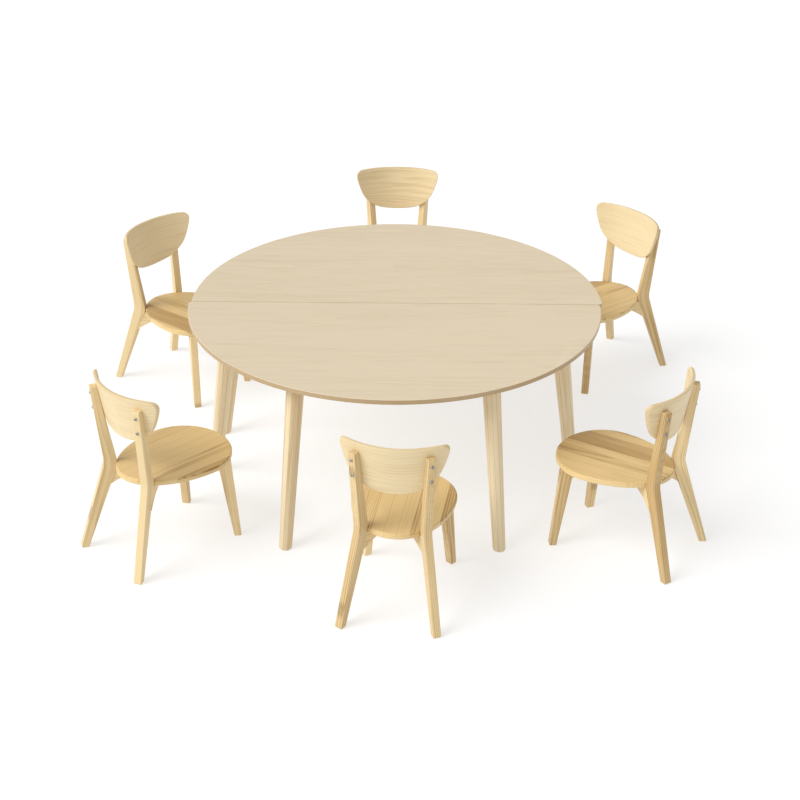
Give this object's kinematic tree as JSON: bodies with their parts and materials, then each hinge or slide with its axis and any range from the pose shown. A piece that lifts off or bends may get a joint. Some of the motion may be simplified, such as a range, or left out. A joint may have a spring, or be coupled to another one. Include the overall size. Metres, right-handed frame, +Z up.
{
  "type": "kids table and chairs",
  "caption": "Low round children's play table in two half-round halves on splayed tapered legs, with small matching wooden chairs with curved backs set round it.",
  "frame": {"origin": "centre of the box round the whole set, at floor level", "axes": "+Z up; +X along the seam between the two half tables; +Y from the front half table to the back half"},
  "size_m": [1.8284, 2.0785, 0.5231],
  "materials": {
    "top_plywood": "satin clear-lacquered birch plywood, fine straight grain",
    "table_leg_pine": "satin clear-lacquered pine, grain along the leg",
    "block_pine": "satin clear-lacquered pine",
    "seat_pine": "satin lacquered edge-glued pine strips",
    "back_plywood": "satin lacquered moulded plywood, level grain",
    "leg_pine": "satin clear-lacquered pine, grain along the length",
    "bolt_steel": "bright zinc-plated steel"
  },
  "bodies": {
    "front_half_table": {"front_half_top": "top_plywood", "front_half_leg_mounts": "block_pine", "front_half_curve_left_leg": "table_leg_pine", "front_half_curve_right_leg": "table_leg_pine", "front_half_seam_left_leg": "table_leg_pine", "front_half_seam_right_leg": "table_leg_pine"},
    "back_half_table": {"back_half_top": "top_plywood", "back_half_leg_mounts": "block_pine", "back_half_curve_left_leg": "table_leg_pine", "back_half_curve_right_leg": "table_leg_pine", "back_half_seam_left_leg": "table_leg_pine", "back_half_seam_right_leg": "table_leg_pine"},
    "front_chair": {"front_chair_seat": "seat_pine", "front_chair_backrest": "back_plywood", "front_chair_rear_leg_left": "leg_pine", "front_chair_rear_leg_right": "leg_pine", "front_chair_front_leg_left": "leg_pine", "front_chair_front_leg_right": "leg_pine", "front_chair_cross_rails": "leg_pine", "front_chair_back_bolts": "bolt_steel"},
    "front_right_chair": {"front_right_chair_seat": "seat_pine", "front_right_chair_backrest": "back_plywood", "front_right_chair_rear_leg_left": "leg_pine", "front_right_chair_rear_leg_right": "leg_pine", "front_right_chair_front_leg_left": "leg_pine", "front_right_chair_front_leg_right": "leg_pine", "front_right_chair_cross_rails": "leg_pine", "front_right_chair_back_bolts": "bolt_steel"},
    "front_left_chair": {"front_left_chair_seat": "seat_pine", "front_left_chair_backrest": "back_plywood", "front_left_chair_rear_leg_left": "leg_pine", "front_left_chair_rear_leg_right": "leg_pine", "front_left_chair_front_leg_left": "leg_pine", "front_left_chair_front_leg_right": "leg_pine", "front_left_chair_cross_rails": "leg_pine", "front_left_chair_back_bolts": "bolt_steel"},
    "back_left_chair": {"back_left_chair_seat": "seat_pine", "back_left_chair_backrest": "back_plywood", "back_left_chair_rear_leg_left": "leg_pine", "back_left_chair_rear_leg_right": "leg_pine", "back_left_chair_front_leg_left": "leg_pine", "back_left_chair_front_leg_right": "leg_pine", "back_left_chair_cross_rails": "leg_pine", "back_left_chair_back_bolts": "bolt_steel"},
    "back_right_chair": {"back_right_chair_seat": "seat_pine", "back_right_chair_backrest": "back_plywood", "back_right_chair_rear_leg_left": "leg_pine", "back_right_chair_rear_leg_right": "leg_pine", "back_right_chair_front_leg_left": "leg_pine", "back_right_chair_front_leg_right": "leg_pine", "back_right_chair_cross_rails": "leg_pine", "back_right_chair_back_bolts": "bolt_steel"},
    "back_chair": {"back_chair_seat": "seat_pine", "back_chair_backrest": "back_plywood", "back_chair_rear_leg_left": "leg_pine", "back_chair_rear_leg_right": "leg_pine", "back_chair_front_leg_left": "leg_pine", "back_chair_front_leg_right": "leg_pine", "back_chair_cross_rails": "leg_pine", "back_chair_back_bolts": "bolt_steel"}
  },
  "joints": [
    {"name": "back_half_pull_apart", "type": "slide", "parent": "front_half_table", "child": "back_half_table", "axis": [0, 1, 0], "range_m": [0, 0.5]},
    {"name": "front_chair_slide", "type": "slide", "parent": "front_half_table", "child": "front_chair", "axis": [0.1547, 0.988, 0], "range_m": [-0.25, 0.16]},
    {"name": "front_right_chair_slide", "type": "slide", "parent": "front_half_table", "child": "front_right_chair", "axis": [-0.8545, 0.5195, 0], "range_m": [-0.25, 0.18]},
    {"name": "front_left_chair_slide", "type": "slide", "parent": "front_half_table", "child": "front_left_chair", "axis": [0.7193, 0.6947, 0], "range_m": [-0.25, 0.15]},
    {"name": "back_left_chair_slide", "type": "slide", "parent": "back_half_table", "child": "back_left_chair", "axis": [0.7891, -0.6143, 0], "range_m": [-0.25, 0.13]},
    {"name": "back_right_chair_slide", "type": "slide", "parent": "back_half_table", "child": "back_right_chair", "axis": [-0.788, -0.6157, 0], "range_m": [-0.25, 0.2]},
    {"name": "back_chair_slide", "type": "slide", "parent": "back_half_table", "child": "back_chair", "axis": [0, -1, 0], "range_m": [-0.25, 0.25]}
  ]
}
